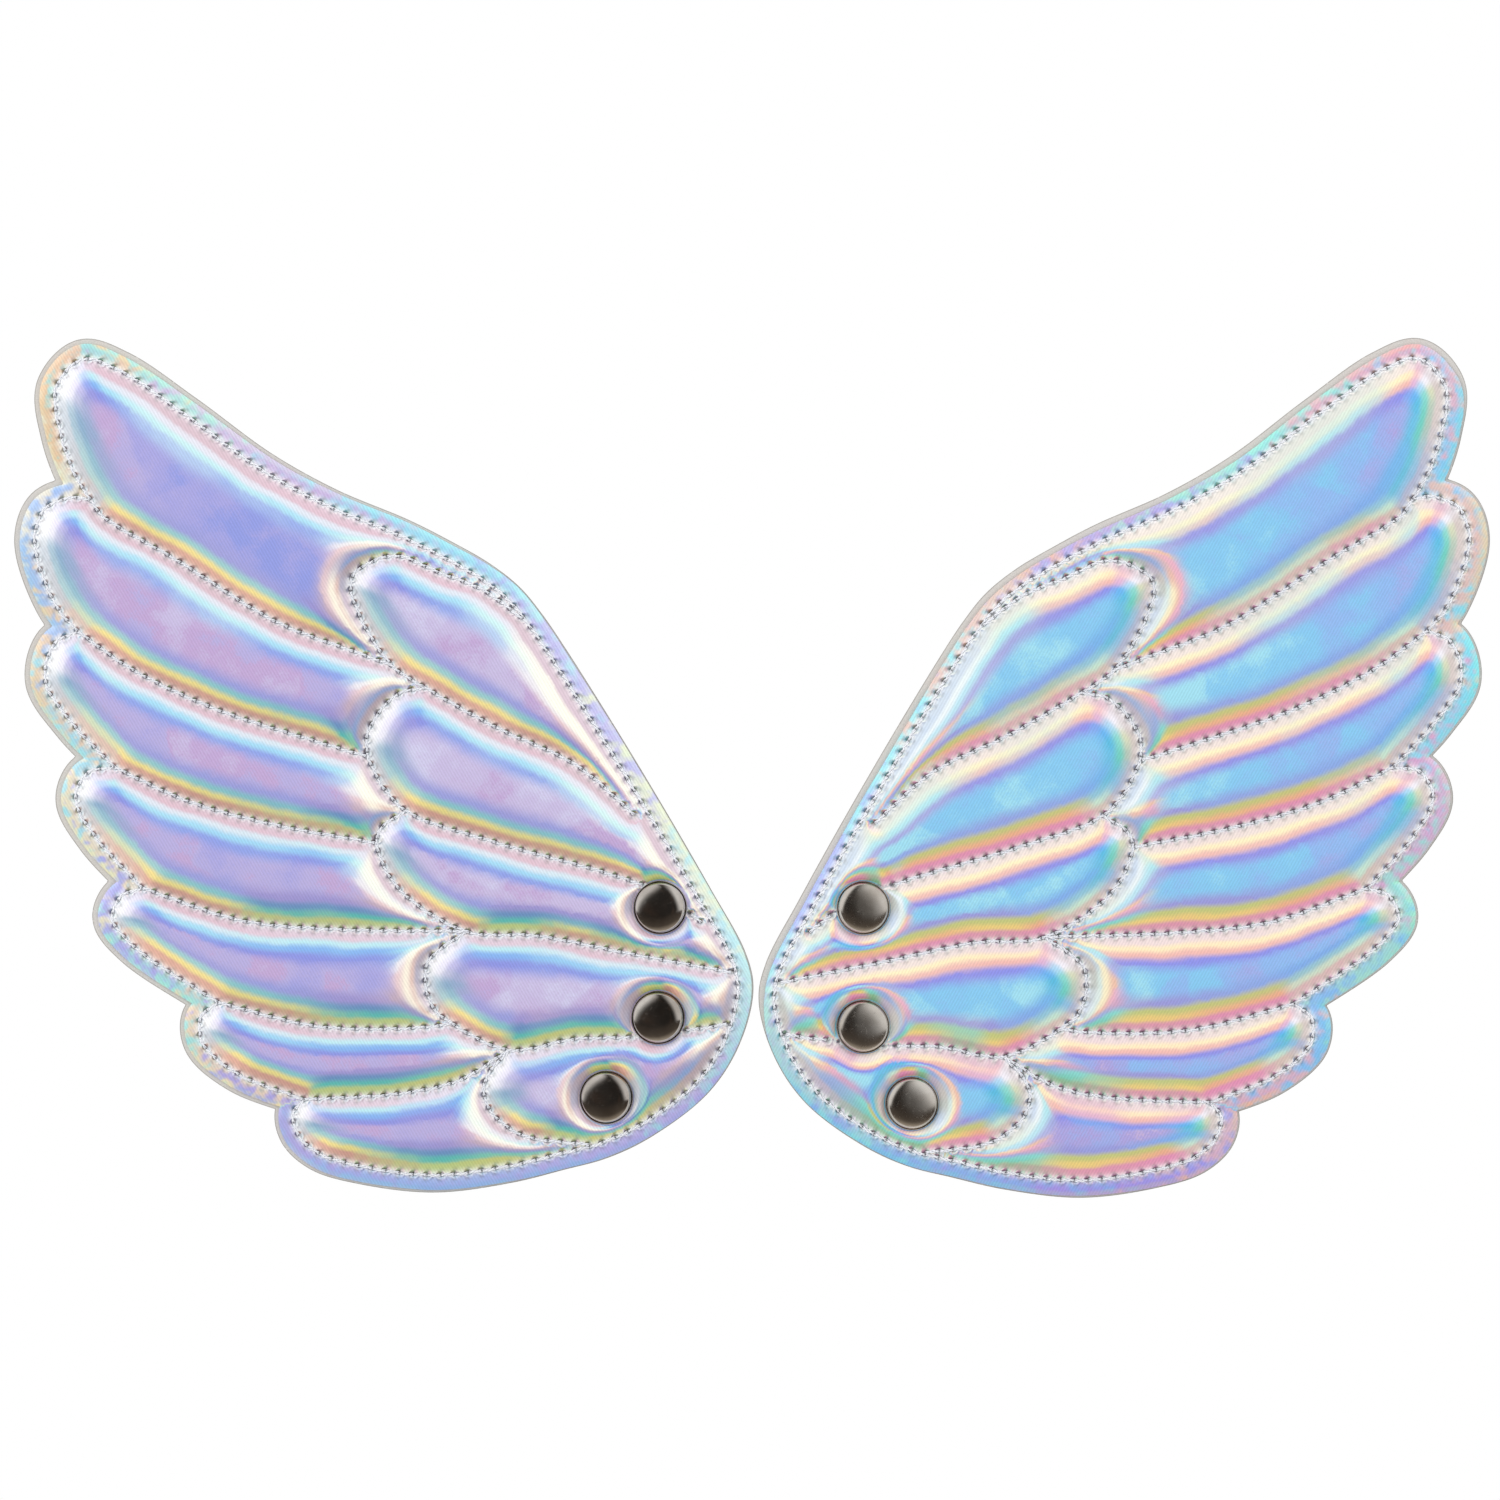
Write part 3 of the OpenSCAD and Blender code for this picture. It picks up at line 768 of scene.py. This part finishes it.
def regions(count, tris, seam):
    """Numbers the feathers: the parts of the mesh that the seams separate."""
    links = directed_edges(tris)
    links = links[~seam[links].any(1)]
    label = np.arange(count)
    while True:
        low = np.minimum(label[links[:, 0]], label[links[:, 1]])
        new = label.copy()
        np.minimum.at(new, links[:, 0], low)
        np.minimum.at(new, links[:, 1], low)
        new = new[new]
        new = new[new]
        if (new == label).all():
            return label
        label = new


# Where each feather lies, and where its flat face is on the film's face ramp
FACES = {
    "left": [((-110, 108), 0.1), ((-120, 85), 0.62), ((-120, 62), 0.55), ((-110, 35), 0.48),
             ((-105, 10), 0.46), ((-95, -8), 0.45), ((-85, -25), 0.47), ((-62, 85), 1.05),
             ((-55, 52), 0.74), ((-50, 30), 0.78), ((-45, 5), 0.76), ((-38, -16), 0.7), ((-10, 3), 0.7)],
    "right": [((-110, 108), 0.3), ((-120, 85), 0.18), ((-120, 62), 0.25), ((-110, 35), 0.35),
              ((-105, 10), 0.45), ((-95, -8), 0.6), ((-85, -25), 0.72), ((-62, 85), 1.05),
              ((-55, 52), 0.22), ((-50, 30), 0.18), ((-45, 5), 0.2), ((-38, -16), 0.35), ((-10, 3), 0.45)]}


def film_extra(side):
    """The front is cut a little inside the back cover, less carefully at the tips."""
    def extra(p):
        tip = np.clip((-p[:, 0] - 40) / 110, 0, 1)
        if side == "left":
            return 0.3 - 1.0 * tip - 0.15 * waves(p, 30, 5)
        lead = np.clip((p[:, 1] + 5 + 0.9 * p[:, 0]) / 10, 0, 1)
        return 0.3 - 0.3 * tip * (1 - lead) - 1.2 * lead - 0.12 * waves(p, 30, 6)
    return extra


def leaning(points, tris, level):
    """How much a surface leans right and up at each point."""
    a, b, c = (np.c_[points, level][tris[:, k]] for k in range(3))
    normal = np.cross(b - a, c - a)
    total = np.stack([np.bincount(tris.ravel(), np.repeat(normal[:, k], 3), len(points))
                      for k in range(3)], 1)
    return total[:, :2] / np.maximum(total[:, 2:], 1e-9)


# How far outside a cap's edge the film gets rings of points
CAP_RINGS = (-0.3, 0.12, 0.5, 0.9, 1.4, 2.0, 2.7, 3.5, 4.4, 5.4)


class FrontMesh:
    """One front cover's flat mesh, and what is near each of its points."""
    def __init__(self, side):
        self.side = side
        self.points, self.tris = triangulated(
            side, cut_outline(film_extra(side)), (0.32, 0.7, 1.15),
            ((1.4, 3.4, 0.6), (3.4, 7, 1.0), (7, 99, 1.7)), rings=[CAP_R + x for x in CAP_RINGS])
        self.d, self.along, self.owner, self.hand = seam_facts(self.points)
        self.edge = self.owner < len(EDGES)
        self.on_seam = self.d < 0.03
        self.inside = within(self.points, SEWN) | self.on_seam
        self.from_cap = from_snaps(side, self.points)
        self.caps = self.from_cap < CAP_R + 0.15
        self.rim = np.isin(np.arange(len(self.points)), boundary(self.tris)) & ~self.caps
        self.fixed = self.on_seam | self.rim | self.caps
        self.hole = np.hypot(self.d, from_hole(self.along))


def puffed(m):
    """The film's level: held down by seams, caps and the cut edge, and pushed up by the foam."""
    value = np.where(m.on_seam, seam_level(m.along, m.edge), TOP)
    value = np.where(m.rim, BACK_TOP + 0.65, value)
    value = np.where(m.caps, SEAT, value)
    full = TOP + 0.2 + 0.1 * waves(m.points, 24, 11) + 0.04 * waves(m.points, 9, 12)
    target = np.where(m.inside, full, MARGIN_LEVEL)
    reach = np.where(m.inside, 3.1 - 0.9 * np.exp(-((m.from_cap - 8) / 3.5) ** 2), 1.6)
    return membrane(m.points, m.tris, m.fixed, value, target, reach)


def gathered(m, top):
    """The level with what the stitches and the caps do to the film close by."""
    # each stitch gathers the film on both sides of it, some more than others
    stitch = np.floor(m.along).astype(int) + 97 * m.owner + (m.hand > 0) * 1013
    size = rng.uniform(0.6, 1.3, 4000)[stitch % 4000]
    pucker = -np.cos(2 * math.pi * m.along) * np.exp(-m.d / 0.75) * (1 - np.exp(-m.d / 0.3)) * size
    top = top + np.where(m.fixed, 0, 0.25 * pucker)
    # a needle hole is a pit with a low swelling round it
    pit = np.exp(-(m.hole / 0.6) ** 2)
    swelling = np.exp(-((m.hole - 1.05) / 0.33) ** 2)
    top += np.where(m.caps | m.rim, 0, 0.26 * swelling - np.where(m.edge, 0.36, 0.42) * pit)
    # faint rings where a cap presses
    out = m.from_cap - CAP_R
    rings = 0.07 * np.sin(out * 2.0) * np.exp(-((out - 1.5) / 2.0) ** 2) * (1 - np.exp(-m.d))
    return top + np.where(m.caps, 0, rings)


def hues(m):
    """Where the flat colour of each point lies on the film's face ramp."""
    label = regions(len(m.points), m.tris, m.on_seam)
    hue = np.full(len(m.points), 0.5)
    for k in np.unique(label):
        members = label == k
        if members.sum() >= 60:
            centre = m.points[members].mean(0)
            hue[members] = min(FACES[m.side], key=lambda f: math.dist(f[0], centre))[1]
    u, v = m.points.T
    if m.side == "left":
        # the first feathers turn pinker towards their tips
        return hue + 0.45 * np.clip((-u - 125) / 25, 0, 1) * (v > 40) * (hue < 0.4)
    # the outer feathers turn further along the ramp towards their tips, and less far at their roots
    tip, root = (np.clip(x / 28, 0, 1) for x in (-u - 122, u + 115))
    return hue + (0.32 * tip - 0.2 * root) * (u < -85) * (hue < 0.65)


def store_film_facts(obj, m, top, smooth):
    """What the film's material reads. smooth is how the film leans without its stitches."""
    fine = leaning(m.points, m.tris, top) - smooth
    lean = smooth + np.where(m.d < 0.9, 0.75, 0.4)[:, None] * fine
    lean[m.caps] = 0
    lean[~m.inside] *= 0.7
    between_holes = np.clip(np.cos(2 * math.pi * (m.along + 0.1 * m.hand)), 0, 1)
    beside = np.exp(-((m.d - 1.15) / 0.35) ** 2) * between_holes
    # masks for painted light: seam places a painted glint, the one beside the stitches painted shade, and
    # hole painted shade in the needle holes
    facts = dict(
        lean=lean, fine=fine, seam=np.exp(-(m.d / 0.95) ** 2), beside=np.where(m.caps, 0, beside),
        margin=np.where(m.inside, 0.0, 1.0), around=Nearest(SEWN)(m.points)[1] / len(SEWN),
        hue=hues(m), hole=np.where(m.caps, 0, np.exp(-(m.hole / 0.45) ** 2)))
    for name, values in facts.items():
        store(obj, name, values)


def front(side):
    """The puffed front cover. Returns its points and their levels."""
    m = FrontMesh(side)
    top = puffed(m)
    smooth = leaning(m.points, m.tris, top)
    top = gathered(m, top)
    under = np.where(m.inside, np.maximum(top - 0.5, BOARD_TOP + 0.05), BACK_TOP + 0.03)
    under = np.minimum(under, top - 0.2)
    obj = shell(side + "_front_cover", side, m.points, m.tris, top, under, FILM[side])
    store_film_facts(obj, m, top, smooth)
    soft(obj, side)
    return m.points, top


def inner_layers(side, film_points, film_top):
    """The foam that fills the feathers and the board behind it."""
    outline = np.vstack([s.points[::2] - 0.9 * s.right[::2] for s in EDGES])
    outline = outline[within(outline, SEWN) & (near_seam(outline)[0] > 0.7)]
    points, tris = triangulated(side, outline, (), ((0.0, 99, 1.5),), seams=False)
    inside = within(film_points, SEWN)
    near_film, levels = Nearest(film_points[inside]), film_top[inside]
    low = np.array([min([levels[i] for _, i, _ in near_film.tree.find_range((x, y, 0), 1.3)] or [5.5])
                    for x, y in points.tolist()])
    top = np.maximum(low - 0.62, BOARD_TOP + 0.02)
    foam = shell(side + "_foam_padding", side, points, tris, top, BOARD_TOP, FOAM)
    soft(foam, side)
    board = shell(side + "_stay_board", side, points, tris, BOARD_TOP - 0.03, BOARD + 0.03, CARD)
    soft(board, side)


def back(side):
    """The back cover, dented along its seams and at every needle hole."""
    outline = cut_outline(lambda p: 0.6)
    points, tris = triangulated(side, outline, (0.5, 1.1), ((1.6, 5, 1.3), (5, 99, 2.2)))
    d, along = seam_facts(points)[:2]
    on_rim = np.isin(np.arange(len(points)), boundary(tris))
    from_edge = Nearest(outline)(points)[0]
    from_edge[on_rim & (from_edge < 1)] = 0
    dent = 0.22 * np.exp(-d / 0.8) + 0.2 * np.exp(-(from_hole(along) / 0.7) ** 2 - (d / 0.6) ** 2)
    dent = dent + 0.03 * (waves(points, 18, 31) + 1) * (1 - np.exp(-d / 3))
    under = BACK + np.clip(dent, 0, 0.5)
    under[from_snaps(side, points) < SOCKET_R + 0.2] = BACK
    obj = shell(side + "_back_cover", side, points, tris, BACK_TOP, under, BACKING)
    # the distance to the cut edge, which the backing uses for a painted shade line along it
    store(obj, "rim", from_edge)
    soft(obj, side)


# ---- the stitches

def tubes(lines, radius, sides):
    """Closed tubes along lines of equal point counts: (verts, faces), in (u, v, level)."""
    n, k = lines.shape[:2]
    along = np.gradient(lines, axis=1)
    along /= np.linalg.norm(along, axis=2)[..., None]
    sideways = np.cross(along, (0.0, 0.0, 1.0))
    sideways /= np.maximum(np.linalg.norm(sideways, axis=2)[..., None], 1e-6)
    over = np.cross(sideways, along)
    a = (np.arange(sides) * 2 * math.pi / sides)[:, None]
    rings = np.cos(a) * sideways[:, :, None] + np.sin(a) * over[:, :, None]
    verts = (lines[:, :, None] + radius * rings).reshape(-1, 3)
    base = np.arange(n) * k * sides
    quads = []
    for i in range(k - 1):
        here, there = base + i * sides, base + (i + 1) * sides
        for j in range(sides):
            after = (j + 1) % sides
            quads.append(np.stack([there + j, there + after, here + after, here + j], 1))
    ends = [list(range(b, b + sides)) for b in base]
    ends += [list(range(b + (k - 1) * sides, b + k * sides))[::-1] for b in base]
    return verts, np.vstack(quads).tolist() + ends


def stitches(side, edge):
    """Both threads of a lockstitch, each laid from one needle hole to the next in two plies."""
    t = np.linspace(0.04, 0.96, 11)
    dive = (1 - np.sin(math.pi * t)) ** 3
    front_level = (EDGE_THREAD_LEVEL if edge else QUILT_THREAD_LEVEL) + 0.36 - 0.85 * dive
    threads = ((front_level, CAP_R + 0.4), (BACK + 0.12 + 0.5 * dive, SOCKET_R + 0.4))
    plies = []
    for s in SEAMS:
        if s.edge != edge:
            continue
        for level, clear in threads:
            for k in range(s.count):
                place = (k + t) * PER_STITCH
                i = np.clip(place.astype(int), 0, len(s.points) - 2)
                f = (place - i)[:, None]
                p = s.points[i] * (1 - f) + s.points[i + 1] * f
                if from_snaps(side, p).min() < clear:
                    continue
                twist = 2 * math.pi * 1.1 * t + rng.uniform(-0.3, 0.3)
                lateral = 0.1 * np.sin(math.pi * t) * (1 if k % 2 else -1)
                for ply in (0, math.pi):
                    off = 0.2 * np.cos(twist + ply) + lateral
                    lift = 0.12 * np.sin(twist + ply)
                    plies.append(np.c_[p + off[:, None] * s.right[i], level + lift])
    verts, faces = tubes(np.array(plies), 0.19, 6)
    kind = "edge_thread" if edge else "quilting_thread"
    obj = build(f"{side}_{kind}", placed(side, *verts.T), faces, THREAD[kind], side)
    soft(obj, side)


# ---- the snaps

BRIM = 0.5      # from a cap's seat up to the foot of its dome


def lathe(kind, side, place, profile, material, segments, turn=1.0, askew=0.0):
    """A closed profile of (radius, level) turned about a snap's own axis, by turn of a full circle.
    A dome is higher towards the middle of the pair, by the share askew for each millimetre."""
    name = f"{side}_{kind}_{place}"
    centre = SNAPS[side, place]
    radius, level = np.array(profile).T
    n = segments if turn == 1.0 else segments + 1
    a = (np.arange(n) * 2 * math.pi * turn / segments)[:, None]
    u, v = centre[0] + radius * np.cos(a), centre[1] + radius * np.sin(a)
    level = level + askew * (u - centre[0]) * np.maximum(level - SEAT - BRIM, 0)
    m = len(profile)
    faces = []
    for i in range(segments):
        here, there = i * m, (i + 1) % n * m
        for k in range(m):
            after = (k + 1) % m
            faces.append([here + k, here + after, there + after, there + k])
    if turn != 1.0:
        faces += [list(range(m)), list(range((n - 1) * m, n * m))[::-1]]
    obj = build(name, placed(side, u.ravel(), v.ravel(), level.ravel()), faces, material, side)
    obj.data.set_sharp_from_angle(angle=math.radians(38))
    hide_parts(name)
    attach(obj, side + "_root")


def rolled(radius, level, r, start, end, n):
    """A rounded edge: n points about (radius, level), at angles that count from straight down."""
    return [(radius + r * math.sin(x), level - r * math.cos(x)) for x in np.linspace(start, end, n)]


def snap_cap(side, place):
    """A domed cap with a rolled rim and a fine step inside it, pressed on a little askew."""
    r, brim = CAP_R, SEAT + BRIM
    profile = [(0.0, brim), (r - 1.0, brim), (r - 0.85, SEAT + 0.02), (r - 0.3, SEAT + 0.02)]
    profile += rolled(r - 0.26, SEAT + 0.3, 0.26, 0.3, 2.7, 10) + [(r - 0.4, brim)]
    rise, width, bulge = CAP_TOP - brim - 0.15, r - 0.42, 0.72
    profile += [(width * math.sin(x) ** bulge, brim + rise * max(math.cos(x), 0) ** bulge)
                for x in np.linspace(math.pi / 2, 0, 32)]
    lathe("snap_cap", side, place, profile, CAP[side], 96,
          askew=0.09 if side == "left" else 0.05)


def snap_post(side, place):
    """A hollow rivet through all the layers: its flange is in the cap, its flare in the socket."""
    flare, flange = BACK - 0.5, CAP_R - 1.1
    profile = [(1.1, flare - 0.45), (2.1, flare - 0.45), (2.4, flare - 0.3), (2.4, flare - 0.05),
               (1.7, flare), (1.7, SEAT - 0.05), (flange, SEAT - 0.02), (flange, SEAT + 0.42),
               (0, SEAT + 0.42), (0, SEAT - 0.1), (1.1, SEAT - 0.2)]
    lathe("snap_post", side, place, profile, POST, 48)


def snap_socket(side, place):
    """A dished ring with a groove for its spring and a rolled lip round the stud's opening."""
    r = SOCKET_R
    profile = [(1.8, BACK), (r - 0.15, BACK)]
    profile += rolled(r - 0.25, BACK - 0.25, 0.25, math.pi - 0.5, math.pi - 2.6, 6)
    profile += [(r - 0.7, BACK - 1.0), (r - 0.95, 1.0), (r - 1.15, 0.45), (r - 1.6, 0.1),
                (r - 2.0, 0.0), (3.25, 0.0), (3.0, 0.1), (2.92, 0.3), (2.92, 0.6), (3.9, 0.62),
                (3.9, 1.5), (2.92, 1.52), (2.92, BACK - 1.0), (2.5, BACK - 1.0), (2.5, BACK - 0.5),
                (1.8, BACK - 0.5)]
    lathe("snap_socket", side, place, profile, SOCKET, 96)


def socket_spring(side, place):
    """A split ring of round wire in the socket's groove."""
    profile = rolled(3.34, 1.05, 0.35, math.pi / 2, math.pi * 7 / 3, 12)
    lathe("socket_spring", side, place, profile, WIRE, 90, turn=320 / 360)


for side in ("left", "right"):
    inner_layers(side, *front(side))
    back(side)
    stitches(side, True)
    stitches(side, False)
    for place in PLACES:
        for part in (snap_cap, snap_post, snap_socket, socket_spring):
            part(side, place)

# ---- studio

ROOM_R = 4.0
lo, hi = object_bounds()
MIDDLE = (lo + hi) / 2


def light(name, location, size, power):
    """A soft box aimed at the wings, which reflections don't show."""
    data = bpy.data.lights.new(name, "AREA")
    data.shape, data.energy = "RECTANGLE", power
    data.size, data.size_y = size
    obj = new_object(name, data)
    obj.location = location
    obj.rotation_mode = "QUATERNION"
    obj.rotation_quaternion = (MIDDLE - Vector(location)).to_track_quat("-Z", "Y")
    obj.visible_glossy = False


def sky():
    world = bpy.data.worlds.new("studio")
    bpy.context.scene.world = world
    world.use_nodes = True
    background = world.node_tree.nodes["Background"].inputs
    background["Color"].default_value = (1, 1, 1, 1)
    background["Strength"].default_value = 1.0


def floor():
    t = Tree("floor_paper")
    grain = t.noise(t.node("ShaderNodeTexCoord").outputs["Object"], 30.0, 4)
    t.set(Base_Color=t.ramp(grain, [(0.3, "#e9e9e9"), (0.7, "#f0f0f0")]), Roughness=0.9)
    bpy.ops.mesh.primitive_plane_add(size=1, location=(0, -0.15, -0.15))
    obj = bpy.context.object
    obj.name = "floor"
    obj.scale = (1.4, 1.1, 1)
    obj.data.materials.append(t.material)
    obj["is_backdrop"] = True
    obj.visible_glossy = False


def room_material():
    """Dark in front with two soft windows, warm below, and pale at the sides and behind."""
    t = Tree("room")
    at = t.node("ShaderNodeSeparateXYZ", {"Vector": t.node("ShaderNodeTexCoord").outputs["Object"]})
    x, y, z = (t.math("DIVIDE", at.outputs[k], ROOM_R) for k in "XYZ")
    direction = t.node("ShaderNodeCombineXYZ", {"X": x, "Y": y, "Z": z}).outputs[0]

    def window(shade, towards, full, end, grey):
        """A round window: as bright as it gets within full degrees, and gone at end degrees."""
        within_it = t.dot(direction, Vector(towards).normalized())
        share = t.between(within_it, math.cos(math.radians(end)), math.cos(math.radians(full)))
        return t.mix(share, shade, (grey, grey, grey, 1))

    mottle = t.between(t.noise(direction, 5.0, 4), 0.5, 0.7)
    shade = t.mix(mottle, (0.024, 0.022, 0.02, 1), (0.075, 0.05, 0.038, 1))
    shade = window(shade, (-0.86, -0.3, 0.5), 34, 50, 0.9)
    shade = window(shade, (0.8, -0.4, 0.42), 30, 62, 0.85)
    low = t.ramp(t.math("MULTIPLY", z, -1.0), [(0.1, "#3a3430"), (0.5, "#5a524a"), (0.85, "#b0a699")])
    shade = t.mix(t.between(z, -0.1, -0.2), shade, low)
    shade = t.mix(t.between(y, -0.42, -0.2), shade, (0.88, 0.88, 0.88, 1))
    t.set(Base_Color=(0, 0, 0, 1), Roughness=1.0, Specular_IOR_Level=0.0, Emission_Strength=1.0,
          Emission_Color=shade)
    return t.material


def room():
    """A sphere that only reflections show."""
    bpy.ops.mesh.primitive_uv_sphere_add(radius=ROOM_R, location=MIDDLE, segments=48, ring_count=24)
    obj = bpy.context.object
    obj.name = "surround"
    obj.data.materials.append(room_material())
    obj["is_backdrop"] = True
    for ray in ("camera", "diffuse", "shadow", "transmission"):
        setattr(obj, "visible_" + ray, False)


def camera():
    obj = new_object("camera", bpy.data.cameras.new("camera"))
    bpy.context.scene.camera = obj
    obj.data.lens, obj.data.sensor_width = 200, 36
    obj.data.clip_start, obj.data.clip_end = 0.01, 20
    obj.location = (-0.0002, -1.937, 0.062)
    obj.rotation_euler = (math.radians(90), 0, 0)


sky()
floor()
room()
light("key", (-0.95, -0.95, 0.78), (1.1, 1.1), 9.0)
light("fill", (1.2, -0.55, 0.6), (0.4, 0.9), 4.0)
camera()
bpy.context.scene.view_settings.view_transform = "Standard"
